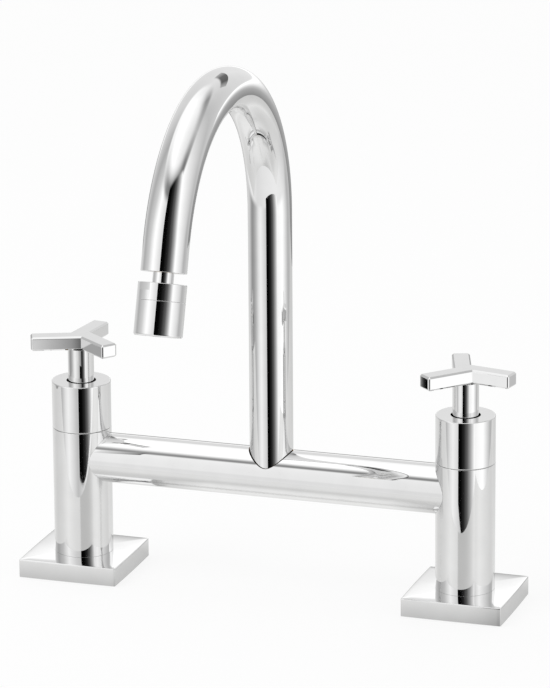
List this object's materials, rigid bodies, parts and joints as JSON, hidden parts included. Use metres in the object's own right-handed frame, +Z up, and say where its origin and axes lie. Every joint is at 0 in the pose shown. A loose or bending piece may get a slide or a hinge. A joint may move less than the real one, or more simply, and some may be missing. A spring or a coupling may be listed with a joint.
{
  "type": "bridge kitchen mixer",
  "caption": "Chrome bridge mixer for a kitchen sink: square-plated pillars joined by a round bar, star-shaped cross handles, swivelling gooseneck spout with a ball-jointed aerator.",
  "frame": {"origin": "on the deck plane, midway between the axes of the two inlets", "axes": "+X along the bridge to the right as seen from the front, -Y to the front where the spout rests, +Z up"},
  "size_m": [0.2556, 0.2048, 0.2865],
  "materials": {
    "chrome": "bright chrome plate on brass",
    "brass": "turned, bare",
    "rubber": "moulded black rubber",
    "ceramic": "lapped alumina ceramic",
    "acetal": "moulded acetal, off-white",
    "stainless": "plain stainless steel"
  },
  "bodies": {
    "mixer_body": {"base_plate_left": "chrome", "plate_seal_left": "rubber", "pillar_left": "chrome", "seat_seal_left": "rubber", "headwork_left": "brass", "collar_ring_left": "rubber", "fixed_disc_left": "ceramic", "pillar_sleeve_left": "chrome", "bridge_nipple_left": "brass", "bridge_ring_left": "rubber", "base_plate_right": "chrome", "plate_seal_right": "rubber", "pillar_right": "chrome", "seat_seal_right": "rubber", "headwork_right": "brass", "collar_ring_right": "rubber", "fixed_disc_right": "ceramic", "pillar_sleeve_right": "chrome", "bridge_nipple_right": "brass", "bridge_ring_right": "rubber", "bridge": "chrome", "spout_post": "brass", "post_rings": "rubber", "slip_washer": "acetal"},
    "handle_left": {"moving_disc_left": "ceramic", "spindle_left": "brass", "spindle_rings_left": "rubber", "spindle_clip_left": "stainless", "handle_stem_left": "chrome", "handle_screw_left": "stainless", "handle_cross_left": "chrome"},
    "handle_right": {"moving_disc_right": "ceramic", "spindle_right": "brass", "spindle_rings_right": "rubber", "spindle_clip_right": "stainless", "handle_stem_right": "chrome", "handle_screw_right": "stainless", "handle_cross_right": "chrome"},
    "spout": {"spout_tube": "chrome", "foot_bush": "brass", "lock_screw": "stainless", "outlet_plug": "chrome", "ball_stem": "chrome", "shank_ring": "rubber"},
    "ball_liner": {"ball_liner": "acetal"},
    "ball_washer": {"ball_washer": "rubber"},
    "aerator_head": {"swivel_ring": "chrome", "head_housing": "chrome", "seat_ring": "acetal", "aerator_gasket": "rubber", "flow_regulator": "acetal", "aerator_insert": "acetal"}
  },
  "joints": [
    {"name": "spout_swivel", "type": "hinge", "parent": "mixer_body", "child": "spout", "pos_m": [0, 0, 0.07], "axis": [0, 0, 1], "continuous": true},
    {"name": "handle_left_turn", "type": "hinge", "parent": "mixer_body", "child": "handle_left", "pos_m": [-0.1016, 0, 0.1], "axis": [0, 0, 1], "range_deg": [0, 90]},
    {"name": "handle_right_turn", "type": "hinge", "parent": "mixer_body", "child": "handle_right", "pos_m": [0.1016, 0, 0.1], "axis": [0, 0, 1], "range_deg": [-90, 0]},
    {"name": "aerator_tilt", "type": "hinge", "parent": "spout", "child": "ball_liner", "pos_m": [0, -0.16195, 0.19685], "axis": [1, 0, 0], "range_deg": [-15, 15]},
    {"name": "aerator_side_tilt", "type": "hinge", "parent": "ball_liner", "child": "ball_washer", "pos_m": [0, -0.16195, 0.19685], "axis": [0, 0.9511, -0.309], "range_deg": [-15, 15]},
    {"name": "aerator_spin", "type": "hinge", "parent": "ball_washer", "child": "aerator_head", "pos_m": [0, -0.16195, 0.19685], "axis": [0, 0.309, 0.9511], "continuous": true}
  ]
}
